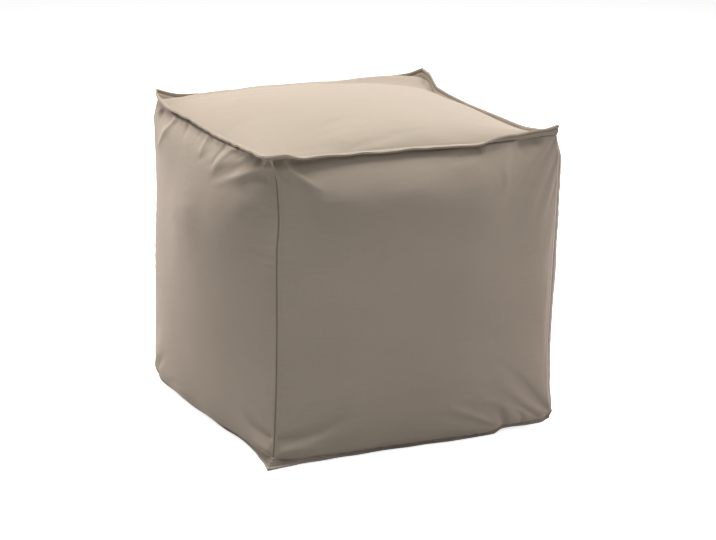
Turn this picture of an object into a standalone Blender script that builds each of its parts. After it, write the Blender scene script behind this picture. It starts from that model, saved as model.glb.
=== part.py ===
"""Cube pouf stool: a filled fabric cube with a crowned top, bowed sides and a flat base,
closed along its top and base edges by standing flanged seams with corner ears.

Metres, +Z up. The origin is the middle of the base, on the floor. The front is -Y,
the left side is -X. Seam and crease tables are in millimetres and degrees.
"""

import bmesh
import bpy
import numpy as np

MM = 0.001

# Driving dimensions.
SIDE = 0.450  # between the upright seams at the corners
TOP_SEAM = 0.449  # height of the top seam at the corners
BASE_SEAM = 0.012  # height of the base seam at the corners
FLANGE_THICK = 0.0022  # two folded edges of cloth, sewn flat
FLANGE_ROOT = 0.4  # how much of its thickness a flange keeps along its seam
FLANGE_GAP = 0.0011  # from the body's seam line to the flange
EAR_GAP = 0.0016  # the same at an ear, from the corner of the body
EAR_REACH = 0.020  # along the seam from a corner to where its ear has died away
MITRE_GAPS = (0.0008, 0.0014)  # half the slit at an ear: along the seam, at the tip
FLOOR_GAP = 0.0003  # the flanges stay this far above the floor

GRID_CUTS = 29  # cuts across each panel of the body and along each flange
GRID_CROWD = 1.35  # 1 spaces the cuts evenly, more crowds them towards the seams

CLOTH_COLOUR = (0.29, 0.24, 0.19, 1.0)
CLOTH_ROUGHNESS = 0.85

# How far each corner of the cube is pulled out of true: east, north, up.
CORNERS = {
    ("front", "left", "top"): (2, 0, -1),
    ("front", "right", "top"): (-0.5, -0.5, -5),
    ("back", "left", "top"): (0, 1, 5),
    ("back", "right", "top"): (4, 3.5, -0.5),
    ("front", "left", "base"): (-1, -3, 1),
    ("front", "right", "base"): (1, -2, 9.5),
    ("back", "left", "base"): (-7, 2, -7),
    ("back", "right", "base"): (0, 0, 0),
}

# The tip of the flange at each corner, from the corner of the body: east, north, up.
EARS = {
    ("front", "left", "top"): (-14, -2, 5),
    ("front", "right", "top"): (1.5, -2.5, 14.5),
    ("back", "left", "top"): (-1, 3, 14),
    ("back", "right", "top"): (3, 3, 17),
    ("front", "left", "base"): (-14, -13, -12),
    ("front", "right", "base"): (-2, 2, -12),
    ("back", "left", "base"): (2, -2, -6),
    ("back", "right", "base"): (10, 10, -10),
}

# Level seams. along runs left to right or front to back from the middle of the side,
# out and rise are measured from the straight line between the corners, lean is the
# flange's angle above level (90 stands upright) and width is how far it reaches.
# Columns: along, out, rise, lean, width.
OUT, RISE, LEAN, WIDTH = 1, 2, 3, 4
LEVEL_SEAMS = {
    ("top", "front"): (
        (-225, 0, 0, 44, 13),
        (-206, 0, 0, 27, 12.5),
        (-190, -1, -1, 11, 12.5),
        (-170, -1.5, -1, 0, 12),
        (-120, -1.5, -1, 5, 12),
        (-60, -0.5, -1, -3, 12.5),
        (0, 0.5, -1, 0, 12.5),
        (92, 1.5, -3, 3, 12.5),
        (124, 1, -3, 42, 11.5),
        (152, -1, -3, 60, 11),
        (205, 0, 0, 70, 11),
        (225, 0, 0, 80, 12),
    ),
    ("top", "left"): (
        (-225, 0, 0, 14, 14),
        (-206, 1, 0, 8, 13),
        (-178, 2, 0, 13, 12),
        (-155, 2, -0.5, 5, 12),
        (-125, 2, -1.5, 10, 12),
        (-85, 2.5, -2.5, 5, 12),
        (-48, 2.5, -3.5, 12, 12),
        (-10, 3, -3.5, 14, 12),
        (31, 3, -3.5, 22, 12),
        (100, 2, -4.5, 28, 12),
        (130, 2, -5, 24, 12),
        (151, 2, -4.5, 22, 12),
        (179, 1, -3, 26, 13),
        (201, 0, 1, 40, 13.5),
        (225, 0, 0, 82, 13),
    ),
    ("top", "right"): (
        (-225, 0, 0, 76, 12),
        (-171, 0, -16.5, 66, 14),
        (-93, 0, -23.5, 66, 14),
        (51, 0, -23.5, 65, 13.5),
        (120, 0, -20.5, 69, 12.5),
        (172, 0, -18.5, 73, 14),
        (204, 0, 1, 86, 14),
        (225, 0, 0, 82, 15),
    ),
    ("top", "back"): (
        (-225, 0, 0, 84, 13),
        (-186, 0, -10, 80, 14),
        (-128, 1, -12, 58, 14),
        (40, 2, -16, 30, 14),
        (150, 1, -6.5, 52, 14),
        (195, 0, -3.5, 80, 13.5),
        (225, 0, 0, 82, 15),
    ),
    ("base", "front"): (
        (-225, 0, 0, -56, 15),
        (-202, 3, -4, -62, 13),
        (-176, 5, -5, -84, 8),
        (-110, 5.5, -6.5, -92, 7),
        (-50, 3.5, -8, -92, 7),
        (20, 6, -10, -92, 6.5),
        (78, 8, -11, -92, 7),
        (106, 7, -12.5, -92, 7),
        (124, 5.5, -11, -94, 7),
        (139, 4, -6, -96, 7),
        (172, 1, -7, -96, 8),
        (204, 0, -8, -94, 8),
        (225, 0, 0, -90, 10),
    ),
    ("base", "left"): (
        (-225, 0, 0, -56, 16),
        (-196, 1, -2, -68, 11),
        (-165, 0, -1.5, -88, 8),
        (-110, -2, -0.5, -96, 7),
        (10, 0, -2.5, -90, 7),
        (80, 2, -1.5, -84, 7),
        (160, 1, 0, -96, 7),
        (225, 0, 0, -90, 6),
    ),
    ("base", "right"): (
        (-225, 0, 0, -90, 10),
        (-150, 0, -8, -60, 11),
        (-20, 2, -9, -40, 9),
        (120, 1, -5, -56, 9),
        (225, 0, 0, -45, 12),
    ),
    ("base", "back"): (
        (-225, 0, 0, -90, 6),
        (-130, 1, -1, -56, 8),
        (30, 2, -3, -44, 9),
        (140, 1, -2, -60, 9),
        (225, 0, 0, -45, 12),
    ),
}

# Upright seams. height is above the floor, east and north are measured from the
# straight line between the base corner and the top corner.
# Columns: height, east, north.
EAST, NORTH = 1, 2
UPRIGHT_SEAMS = {
    ("front", "left"): (
        (0, 0, 0),
        (40, 3, 1),
        (110, 6, 2),
        (210, 8, 3),
        (310, 9, 4),
        (354, 12, 4),
        (410, 9, 3),
        (450, 0, 0),
    ),
    ("front", "right"): (
        (0, 0, 0),
        (50, -6.5, 1),
        (90, -7, 2),
        (165, -4.5, 3),
        (245, 0, 3),
        (330, 3.5, 2),
        (376, 4.5, 0),
        (410, 6, 0),
        (450, 0, 0),
    ),
    ("back", "left"): (
        (0, 0, 0),
        (24, -7.5, -1),
        (100, -7, -3),
        (300, -4.5, -4),
        (420, -7, -2),
        (450, 0, 0),
    ),
    ("back", "right"): (
        (0, 0, 0),
        (80, -4, -5),
        (220, -7, -6),
        (360, -4, -3),
        (450, 0, 0),
    ),
}

# How each panel bows out between its seams: depth in the middle, and how square the
# shoulder beside each of its seams is (1 is a plain arch, less is squarer).
# Columns: depth, then the shoulders at the first, last, low and high seam.
BOWS = {
    "front": (26, 0.80, 0.46, 0.28, 0.44),
    "left": (26.5, 0.84, 0.74, 0.27, 0.30),
    "right": (36, 0.48, 0.50, 0.28, 0.25),
    "back": (28, 0.60, 0.60, 0.26, 0.50),
    "top": (52.1, 0.51, 0.53, 0.52, 0.41),
}

# How gently the crown leaves each seam: how far in from it the crown starts to rise.
# Columns: along, lead.
CROWN_LEAD = {
    "left": ((-225, 12), (225, 12)),
    "right": ((-225, 9), (225, 5.5)),
    "front": ((-225, 24), (-150, 20), (-95, 6), (180, 4.5), (225, 6)),
    "back": ((-225, 7), (225, 4.5)),
}

BASE_ROLL = 0.036  # from the base seam in to where the cloth meets the floor

# Main creases: a soft ridge (height above 0) or trough (below 0) that follows a route
# of (along, up) points on its panel, with its half width at the start and at the end,
# and how far along the route it takes to rise and to fall away.
# Columns: panel, height, start half width, end half width, rise, fall, route.
CREASES = (
    ("left", 17, 54, 62, 90, 210, ((-222, 388), (-100, 358), (0, 336), (100, 318), (170, 310))),
    ("left", 9, 100, 100, 110, 210, ((-222, 250), (-60, 235), (100, 225), (170, 225))),
    ("left", -5, 15, 18, 10, 26, ((191, 446), (188, 438), (188, 418))),
    ("left", 5, 12, 14, 6, 44, ((112, 447), (120, 437), (140, 416), (172, 386), (190, 366))),
    ("left", 4, 11, 12, 3, 30, ((-17, 447), (-23, 427), (-20, 400))),
    ("left", -4, 11, 12, 4, 30, ((-52, 446), (-58, 430), (-50, 404))),
    ("left", 6, 11, 14, 5, 50, ((-132, 447), (-114, 442), (-97, 426), (-78, 398), (-66, 374))),
    ("left", -5, 12, 13, 8, 26, ((-160, 446), (-150, 432), (-136, 416))),
    ("left", 6.5, 11, 13, 6, 44, ((-218, 438), (-200, 429), (-159, 412), (-110, 400))),
    ("left", -4.5, 11, 12, 10, 40, ((-224, 42), (-205, 43), (-150, 50))),
    ("left", 3.5, 11, 12, 8, 40, ((-224, 22), (-205, 22), (-160, 24))),
    ("front", 8, 42, 40, 50, 90, ((-212, 386), (-100, 384), (60, 386), (170, 386))),
    ("front", 5, 26, 26, 36, 80, ((-200, 394), (-110, 390), (60, 393))),
    ("front", -9, 12, 12, 4, 10, ((-222, 440), (-190, 441), (-112, 441), (0, 440), (98, 439))),
    ("front", 6.5, 11, 13, 6, 40, ((-213, 437), (-205, 432), (-183, 412), (-151, 397))),
    ("front", -3, 12, 16, 6, 40, ((-209, 416), (-178, 396), (-150, 376))),
    ("front", 4, 11, 12, 5, 20, ((109, 439), (100, 431), (89, 415))),
    ("front", 3, 11, 12, 5, 20, ((142, 442), (136, 430), (132, 412))),
    ("front", -7, 14, 14, 14, 14, ((151, 441), (176, 441), (203, 439))),
    ("front", -4.5, 11, 12, 10, 50, ((-224, 42), (-200, 42), (-150, 48), (-120, 52))),
    ("front", 3.5, 11, 12, 10, 50, ((-222, 22), (-188, 24), (-130, 24))),
    ("front", -4, 11, 12, 5, 30, ((140, 8), (137, 24), (130, 62))),
)
ROUTE_STEPS = 25  # points along a crease's route once it is smoothed
BELL_POWER = 1.7  # how squarely a crease falls off across its route
CREASE_CLEAR = 0.009  # creases die away this close to a seam


def s_curve(fraction):
    """Eases from 0 to 1: 3f^2 - 2f^3."""
    return fraction**2 * (3 - 2 * fraction)


def read_rows(value, rows, column):
    """A column of a table at each value of its first column. Between two rows it is
    the cubic that meets both, and its slope at a row is the harmonic mean of the
    straight slopes on either side, or level where the column turns back there."""
    stops = np.array([row[0] for row in rows], float)
    numbers = np.array([row[column] for row in rows], float)
    step = np.diff(stops)
    rise = np.diff(numbers) / step
    before, after = rise[:-1], rise[1:]
    onward = before * after > 0
    mean = np.where(onward, 2 * before * after / np.where(onward, before + after, 1), 0)
    slope = np.concatenate([rise[:1], mean, rise[-1:]])
    at = np.clip(np.searchsorted(stops, value, side="right") - 1, 0, len(step) - 1)
    f = np.clip((value - stops[at]) / step[at], 0, 1)
    ends = (1 + 2 * f) * (1 - f) ** 2 * numbers[at] + f**2 * (3 - 2 * f) * numbers[at + 1]
    turns = f * (1 - f) ** 2 * slope[at] - f**2 * (1 - f) * slope[at + 1]
    return ends + turns * step[at]


def corner(depth_side, width_side, level):
    """A corner of the body: the true cube's corner plus its pull."""
    x = SIDE / 2 if width_side == "right" else -SIDE / 2
    y = SIDE / 2 if depth_side == "back" else -SIDE / 2
    z = TOP_SEAM if level == "top" else BASE_SEAM
    pull = np.array(CORNERS[(depth_side, width_side, level)]) * MM
    return np.array([x, y, z]) + pull


def outward(side):
    """The level direction that a side panel faces."""
    return {
        "front": np.array([0.0, -1.0, 0.0]),
        "back": np.array([0.0, 1.0, 0.0]),
        "left": np.array([-1.0, 0.0, 0.0]),
        "right": np.array([1.0, 0.0, 0.0]),
    }[side]


def seam_ends(level, side):
    """The two corner names of a level seam, in the order in which along grows."""
    if side in ("front", "back"):
        return (side, "left", level), (side, "right", level)
    return ("front", side, level), ("back", side, level)


def level_seam(level, side, share):
    """Points along a top or base seam: the straight line between its corners, pushed
    out and up by its table. share runs from 0 to 1."""
    start, end = (corner(*name) for name in seam_ends(level, side))
    rows = LEVEL_SEAMS[(level, side)]
    along = (share - 0.5) * SIDE / MM
    line = start + share[:, None] * (end - start)
    line = line + read_rows(along, rows, OUT)[:, None] * MM * outward(side)
    line[:, 2] += read_rows(along, rows, RISE) * MM
    return line


def upright_seam(depth_side, width_side, share):
    """Points up a corner seam: the straight line from the base corner to the top
    corner, pushed sideways by its table. share runs from 0 to 1."""
    start = corner(depth_side, width_side, "base")
    end = corner(depth_side, width_side, "top")
    rows = UPRIGHT_SEAMS[(depth_side, width_side)]
    line = start + share[:, None] * (end - start)
    height = share * rows[-1][0]
    line[:, 0] += read_rows(height, rows, EAST) * MM
    line[:, 1] += read_rows(height, rows, NORTH) * MM
    return line


def panel_seams(panel):
    """The four seams round a panel, each a function of share: low and high edge, which
    run across it, then first and last edge, which run up it."""
    if panel in ("top", "base"):
        return (
            lambda s: level_seam(panel, "front", s),
            lambda s: level_seam(panel, "back", s),
            lambda s: level_seam(panel, "left", s),
            lambda s: level_seam(panel, "right", s),
        )
    if panel in ("front", "back"):
        first, last = (panel, "left"), (panel, "right")
    else:
        first, last = ("front", panel), ("back", panel)
    return (
        lambda s: level_seam("base", panel, s),
        lambda s: level_seam("top", panel, s),
        lambda s: upright_seam(*first, s),
        lambda s: upright_seam(*last, s),
    )


def stretched_panel(panel, across, up):
    """A panel pulled flat between its four seams: the sum of the two straight spans
    between opposite seams, less the straight-sided sheet through its corners."""
    low, high, first, last = panel_seams(panel)
    u, v = across[:, None], up[:, None]
    span_up = (1 - v) * low(across) + v * high(across)
    span_across = (1 - u) * first(up) + u * last(up)
    zero, one = np.zeros(1), np.ones(1)
    corners = (1 - v) * ((1 - u) * low(zero) + u * low(one))
    corners = corners + v * ((1 - u) * high(zero) + u * high(one))
    return span_up + span_across - corners


def arch(share, first, last):
    """0 at both seams and 1 midway: (1 - t^2)^shoulder, with t from -1 to 1, and a
    shoulder for each half."""
    shoulder = np.where(share < 0.5, first, last)
    return np.clip(1 - (2 * share - 1) ** 2, 0, 1) ** shoulder


def bow(panel, across, up):
    """How far a panel stands out from the stretched one: an arch each way."""
    depth, first, last, low, high = BOWS[panel]
    return depth * MM * arch(across, first, last) * arch(up, low, high)


def crease(along, up, height, start_reach, end_reach, rise, fall, route):
    """One crease. Its route is smoothed, each point of the panel finds its nearest place
    on it, and the height there falls off across it as a bell, e^-(away / reach)^power,
    and along it as an S-curve at both ends."""
    route = np.array(route, float)
    chord = np.concatenate([[0], np.cumsum(np.hypot(*np.diff(route, axis=0).T))])
    walk = np.linspace(0, chord[-1], ROUTE_STEPS)
    table = np.column_stack([chord, route])
    path = np.stack([read_rows(walk, table, 1), read_rows(walk, table, 2)], 1)
    nearest = np.full(along.shape, np.inf)
    place = np.zeros(along.shape)
    for (a0, b0), (a1, b1), w0, w1 in zip(path, path[1:], walk, walk[1:]):
        length2 = (a1 - a0) ** 2 + (b1 - b0) ** 2
        share = ((along - a0) * (a1 - a0) + (up - b0) * (b1 - b0)) / length2
        share = np.clip(share, 0, 1)
        away = np.hypot(along - a0 - share * (a1 - a0), up - b0 - share * (b1 - b0))
        place = np.where(away < nearest, w0 + share * (w1 - w0), place)
        nearest = np.minimum(nearest, away)
    reach = start_reach + (end_reach - start_reach) * place / walk[-1]
    start = s_curve(np.clip(place / rise, 0, 1))
    end = s_curve(np.clip((walk[-1] - place) / fall, 0, 1))
    return height * MM * start * end * np.exp(-((nearest / reach) ** BELL_POWER))


def side_panel(panel, across, up):
    """A side panel: stretched between its seams, bowed outward and creased."""
    points = stretched_panel(panel, across, up)
    along_mm = (across - 0.5) * SIDE / MM
    up_mm = points[:, 2] / MM
    to_seam = np.minimum.reduce([across, 1 - across, up, 1 - up]) * SIDE
    relief = np.zeros(across.shape)
    for name, *shape in CREASES:
        if name == panel:
            relief += crease(along_mm, up_mm, *shape)
    relief *= np.clip(to_seam / CREASE_CLEAR, 0, 1)
    return points + (bow(panel, across, up) + relief)[:, None] * outward(panel)


def top_panel(across, up):
    """The top panel: stretched between its seams and crowned upward. From each seam
    the crown leads in by 1 - e^-(away / lead)."""
    points = stretched_panel("top", across, up)
    crown = bow("top", across, up)
    across_mm = (across - 0.5) * SIDE / MM
    up_mm = (up - 0.5) * SIDE / MM
    for side, away, along in (
        ("left", across, up_mm),
        ("right", 1 - across, up_mm),
        ("front", up, across_mm),
        ("back", 1 - up, across_mm),
    ):
        lead = read_rows(along, CROWN_LEAD[side], 1)
        crown = crown * (1 - np.exp(-away * SIDE / MM / lead))
    points[:, 2] += crown
    return points


def base_panel(across, up):
    """The base panel: it rolls under from its seams and lies flat on the floor."""
    points = stretched_panel("base", across, up)
    to_seam = np.minimum.reduce([across, 1 - across, up, 1 - up]) * SIDE
    sink = np.clip(to_seam / BASE_ROLL, 0, 1)
    points[:, 2] *= (1 - sink) ** 2
    return points


def cloth_material(name):
    """A matt cloth."""
    material = bpy.data.materials.new(name)
    material.use_nodes = True
    shader = material.node_tree.nodes["Principled BSDF"]
    shader.inputs["Base Color"].default_value = CLOTH_COLOUR
    shader.inputs["Roughness"].default_value = CLOTH_ROUGHNESS
    shader.inputs["Metallic"].default_value = 0.0
    return material


def add_object(name, mesh, collection):
    """Puts a mesh in the collection under a name, with a material of its own."""
    obj = bpy.data.objects.new(name, mesh)
    collection.objects.link(obj)
    mesh.materials.append(cloth_material(name + "_cloth"))
    return obj


def crowded(position):
    """Moves evenly spaced positions from -1 to 1 towards the ends, and gives them as
    shares from 0 to 1: (1 + p) / 2 where p is 1 - (1 - |position|)^crowd, signed."""
    pushed = np.sign(position) * (1 - (1 - np.abs(position)) ** GRID_CROWD)
    return (pushed + 1) / 2


def filled_body(collection):
    """The filled cover: a cube cut into a grid, whose faces become its six panels."""
    bm = bmesh.new()
    bmesh.ops.create_cube(bm, size=2.0)
    bmesh.ops.subdivide_edges(bm, edges=bm.edges[:], cuts=GRID_CUTS, use_grid_fill=True)
    mesh = bpy.data.meshes.new("filled_body")
    bm.to_mesh(mesh)
    bm.free()

    cube = np.empty(len(mesh.vertices) * 3, np.float32)
    mesh.vertices.foreach_get("co", cube)
    cube = np.round(cube.reshape(-1, 3).astype(float), 6)
    share = crowded(cube)
    points = np.zeros(cube.shape)
    for panel, axis, end in (
        ("base", 2, -1),
        ("top", 2, 1),
        ("front", 1, -1),
        ("back", 1, 1),
        ("left", 0, -1),
        ("right", 0, 1),
    ):
        on_panel = cube[:, axis] == end
        across = share[on_panel, 1 if axis == 0 else 0]
        up = share[on_panel, 1 if axis == 2 else 2]
        if panel == "base":
            points[on_panel] = base_panel(across, up)
        elif panel == "top":
            points[on_panel] = top_panel(across, up)
        else:
            points[on_panel] = side_panel(panel, across, up)
    mesh.vertices.foreach_set("co", points.astype(np.float32).ravel())
    mesh.update()
    mesh.shade_smooth()
    return add_object("filled_body", mesh, collection)


def flange(level, side, collection):
    """One flange: a strip from just off its seam to its free edge, which runs out into
    half an ear at each end; the strip is thickened evenly to both sides."""
    ends = seam_ends(level, side)
    count = GRID_CUTS + 2
    share = crowded(np.linspace(-1, 1, count))
    rows = LEVEL_SEAMS[(level, side)]
    seam = level_seam(level, side, share)
    along = (share - 0.5) * SIDE / MM
    lean = np.radians(read_rows(along, rows, LEAN))
    width = read_rows(along, rows, WIDTH) * MM
    away = np.cos(lean)[:, None] * outward(side)
    away[:, 2] = np.sin(lean)
    root = seam + away * FLANGE_GAP
    edge = seam + away * width[:, None]

    for end, name in ((0, ends[0]), (-1, ends[1])):
        to_corner = np.abs(share - share[end]) * SIDE
        fade = s_curve(np.clip(1 - to_corner / EAR_REACH, 0, 1))[:, None]
        start = corner(*name)
        ear = np.array(EARS[name]) * MM
        edge = edge + fade * (start + ear - edge[end])
        start = start + EAR_GAP * ear / np.linalg.norm(ear)
        root = root + fade * (start - root[end])
    tangent = np.gradient(seam, axis=0)
    tangent /= np.linalg.norm(tangent, axis=1)[:, None]
    for end, sign in ((0, 1), (-1, -1)):
        root[end] += sign * MITRE_GAPS[0] * tangent[end]
        edge[end] += sign * MITRE_GAPS[1] * tangent[end]
    lowest = FLANGE_THICK / 2 + FLOOR_GAP
    edge[:, 2] = np.maximum(edge[:, 2], lowest)
    root[:, 2] = np.maximum(root[:, 2], lowest)

    mesh = bpy.data.meshes.new(f"{level}_flange_{side}")
    faces = [(i, i + 1, count + i + 1, count + i) for i in range(count - 1)]
    mesh.from_pydata(np.concatenate([root, edge]).tolist(), [], faces)
    mesh.update()
    mesh.shade_smooth()
    obj = add_object(f"{level}_flange_{side}", mesh, collection)
    free_edge = obj.vertex_groups.new(name="free_edge")
    free_edge.add(list(range(count, 2 * count)), 1.0, "REPLACE")
    thick = obj.modifiers.new("thickness", "SOLIDIFY")
    thick.vertex_group = free_edge.name
    thick.thickness_vertex_group = FLANGE_ROOT
    thick.thickness = FLANGE_THICK
    thick.offset = 0.0
    thick.use_even_offset = True
    return obj


def clear_scene():
    """Empties the scene that the script starts in."""
    for obj in list(bpy.data.objects):
        bpy.data.objects.remove(obj, do_unlink=True)


def build():
    """Builds the pouf in a collection of its own."""
    clear_scene()
    collection = bpy.data.collections.new("cube_pouf_stool")
    bpy.context.scene.collection.children.link(collection)
    filled_body(collection)
    for level in ("top", "base"):
        for side in ("front", "right", "back", "left"):
            flange(level, side, collection)


build()
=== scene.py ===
import math

import bpy
import numpy as np
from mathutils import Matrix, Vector


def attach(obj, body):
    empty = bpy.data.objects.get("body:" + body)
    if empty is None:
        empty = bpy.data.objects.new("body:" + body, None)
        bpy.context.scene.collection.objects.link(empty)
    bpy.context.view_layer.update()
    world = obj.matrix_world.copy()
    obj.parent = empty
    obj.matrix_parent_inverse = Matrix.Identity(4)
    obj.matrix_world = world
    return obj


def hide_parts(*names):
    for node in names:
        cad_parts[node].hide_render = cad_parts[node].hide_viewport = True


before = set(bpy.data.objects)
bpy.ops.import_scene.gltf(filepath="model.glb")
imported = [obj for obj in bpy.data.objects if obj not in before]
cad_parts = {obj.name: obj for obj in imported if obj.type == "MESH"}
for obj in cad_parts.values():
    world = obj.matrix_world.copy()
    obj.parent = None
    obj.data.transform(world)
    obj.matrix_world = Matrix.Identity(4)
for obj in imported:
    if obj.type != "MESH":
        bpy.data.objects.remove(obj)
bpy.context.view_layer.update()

# ---------------------------------------------------------------------------
# Camera
# It stands in front of the pouf and to its left, a little above the top, and
# a long lens keeps the upright seams almost parallel.
# ---------------------------------------------------------------------------
def put_in_scene(name, data):
    """A new object, at the origin and unturned."""
    thing = bpy.data.objects.new(name, data)
    bpy.context.scene.collection.objects.link(thing)
    return thing


view_turn = math.radians(-24.6)  # from straight in front, towards the left
view_tilt = math.radians(15.16)
view_distance = 3.635
view_aside = 0.0102  # it aims this far to the right of the pouf's middle
view_height = 0.2095  # and this high
view_centre = Vector((view_aside * math.cos(view_turn), view_aside * math.sin(view_turn), view_height))

view_lens = bpy.data.cameras.new("view_camera")
view_lens.lens = 120
view_lens.sensor_width = 36
view_camera = put_in_scene("view_camera", view_lens)
towards_camera = Vector(
    (
        math.sin(view_turn) * math.cos(view_tilt),
        -math.cos(view_turn) * math.cos(view_tilt),
        math.sin(view_tilt),
    )
)
view_camera.location = view_centre + view_distance * towards_camera
view_camera.rotation_euler = (-towards_camera).to_track_quat("-Z", "Y").to_euler()
bpy.context.scene.camera = view_camera


# ---------------------------------------------------------------------------
# Filled cover
# Six square panels of cotton canvas, sewn edge to edge and filled with loose
# beads. The filling crowns the top and bows the sides; the base rolls under and
# lies flat. The panels meet in pinched seams and pucker beside them.
# ---------------------------------------------------------------------------
MM = 0.001
SIDE = 0.450  # between the upright seams at the corners
TOP_SEAM = 0.449
BASE_SEAM = 0.012
BASE_ROLL = 0.036  # from the base seam in to where the cloth meets the floor
PANEL_CELLS = 128  # along each edge of a panel
CELL_CROWD = 1.35  # more than 1 draws the cells towards the seams

# How far each corner is pulled out of a true cube, in mm: east, north, up.
CORNERS = {
    ("front", "left", "top"): (2, 0, -1),
    ("front", "right", "top"): (-0.5, -0.5, -5),
    ("back", "left", "top"): (0, 1, 5),
    ("back", "right", "top"): (4, 3.5, -0.5),
    ("front", "left", "base"): (-1, -3, 1),
    ("front", "right", "base"): (1, -2, 9.5),
    ("back", "left", "base"): (-7, 2, -7),
    ("back", "right", "base"): (0, 0, 0),
}

# Level seams, in mm and degrees: along, out, rise, lean and width of the flange.
OUT, RISE, LEAN, WIDTH = 1, 2, 3, 4
LEVEL_SEAMS = {
    ("top", "front"): (
        (-225, 0, 0, 44, 13),
        (-206, 0, 0, 27, 12.5),
        (-190, -1, -1, 11, 12.5),
        (-170, -1.5, -1, 0, 12),
        (-120, -1.5, -1, 5, 12),
        (-60, -0.5, -1, -3, 12.5),
        (0, 0.5, -1, 0, 12.5),
        (92, 1.5, -3, 3, 12.5),
        (124, 1, -3, 42, 11.5),
        (152, -1, -3, 60, 11),
        (205, 0, 0, 70, 11),
        (225, 0, 0, 80, 12),
    ),
    ("top", "left"): (
        (-225, 0, 0, 14, 14),
        (-206, 1, 0, 8, 13),
        (-178, 2, 0, 13, 12),
        (-155, 2, -0.5, 5, 12),
        (-125, 2, -1.5, 10, 12),
        (-85, 2.5, -2.5, 5, 12),
        (-48, 2.5, -3.5, 12, 12),
        (-10, 3, -3.5, 14, 12),
        (31, 3, -3.5, 22, 12),
        (100, 2, -4.5, 28, 12),
        (130, 2, -5, 24, 12),
        (151, 2, -4.5, 22, 12),
        (179, 1, -3, 26, 13),
        (201, 0, 1, 40, 13.5),
        (225, 0, 0, 82, 13),
    ),
    ("top", "right"): (
        (-225, 0, 0, 76, 12),
        (-171, 0, -16.5, 66, 14),
        (-93, 0, -23.5, 66, 14),
        (51, 0, -23.5, 65, 13.5),
        (120, 0, -20.5, 69, 12.5),
        (172, 0, -18.5, 73, 14),
        (204, 0, 1, 86, 14),
        (225, 0, 0, 82, 15),
    ),
    ("top", "back"): (
        (-225, 0, 0, 84, 13),
        (-186, 0, -10, 80, 14),
        (-128, 1, -12, 58, 14),
        (40, 2, -16, 30, 14),
        (150, 1, -6.5, 52, 14),
        (195, 0, -3.5, 80, 13.5),
        (225, 0, 0, 82, 15),
    ),
    ("base", "front"): (
        (-225, 0, 0, -56, 15),
        (-202, 3, -4, -62, 13),
        (-176, 5, -5, -84, 8),
        (-110, 5.5, -6.5, -92, 7),
        (-50, 3.5, -8, -92, 7),
        (20, 6, -10, -92, 6.5),
        (78, 8, -11, -92, 7),
        (106, 7, -12.5, -92, 7),
        (124, 5.5, -11, -94, 7),
        (139, 4, -7, -96, 6),
        (172, 1, -9, -96, 5.5),
        (204, 0, -10, -94, 5.5),
        (225, 0, 0, -90, 8),
    ),
    ("base", "left"): (
        (-225, 0, 0, -56, 16),
        (-196, 1, -2, -68, 11),
        (-165, 0, -1.5, -88, 8),
        (-110, -2, -0.5, -96, 7),
        (10, 0, -2.5, -90, 7),
        (80, 2, -1.5, -84, 7),
        (160, 1, 0, -96, 7),
        (225, 0, 0, -90, 6),
    ),
    ("base", "right"): (
        (-225, 0, 0, -90, 10),
        (-150, 0, -8, -60, 11),
        (-20, 2, -9, -40, 9),
        (120, 1, -5, -56, 9),
        (225, 0, 0, -45, 12),
    ),
    ("base", "back"): (
        (-225, 0, 0, -90, 6),
        (-130, 1, -1, -56, 8),
        (30, 2, -3, -44, 9),
        (140, 1, -2, -60, 9),
        (225, 0, 0, -45, 12),
    ),
}

# Upright seams, in mm: height, east, north.
EAST, NORTH = 1, 2
UPRIGHT_SEAMS = {
    ("front", "left"): (
        (0, 0, 0),
        (40, 3, 1),
        (110, 6, 2),
        (210, 8, 3),
        (310, 9, 4),
        (354, 12, 4),
        (410, 9, 3),
        (450, 0, 0),
    ),
    ("front", "right"): (
        (0, 0, 0),
        (50, -6.5, 1),
        (90, -7, 2),
        (165, -4.5, 3),
        (245, 0, 3),
        (330, 3.5, 2),
        (376, 4.5, 0),
        (410, 6, 0),
        (450, 0, 0),
    ),
    ("back", "left"): (
        (0, 0, 0),
        (24, -7.5, -1),
        (100, -7, -3),
        (300, -4.5, -4),
        (420, -7, -2),
        (450, 0, 0),
    ),
    ("back", "right"): (
        (0, 0, 0),
        (80, -4, -5),
        (220, -7, -6),
        (360, -4, -3),
        (450, 0, 0),
    ),
}

# How each panel bows out between its seams: depth in mm, then how square the
# shoulder is at its first, last, low and high seam (1 is a plain arch).
BOWS = {
    "front": (26, 0.80, 0.46, 0.28, 0.44),
    "left": (26.5, 0.84, 0.74, 0.27, 0.30),
    "right": (36, 0.48, 0.50, 0.28, 0.25),
    "back": (28, 0.60, 0.60, 0.26, 0.50),
    "top": (52.1, 0.51, 0.53, 0.52, 0.41),
}

# How gently the crown leaves each flange, in mm: along, and how far the lead takes.
CROWN_LEAD = {
    "left": ((-225, 12), (225, 12)),
    "right": ((-225, 9), (225, 5.5)),
    "front": ((-225, 24), (-150, 20), (-95, 6), (180, 4.5), (225, 6)),
    "back": ((-225, 7), (225, 4.5)),
}

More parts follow.
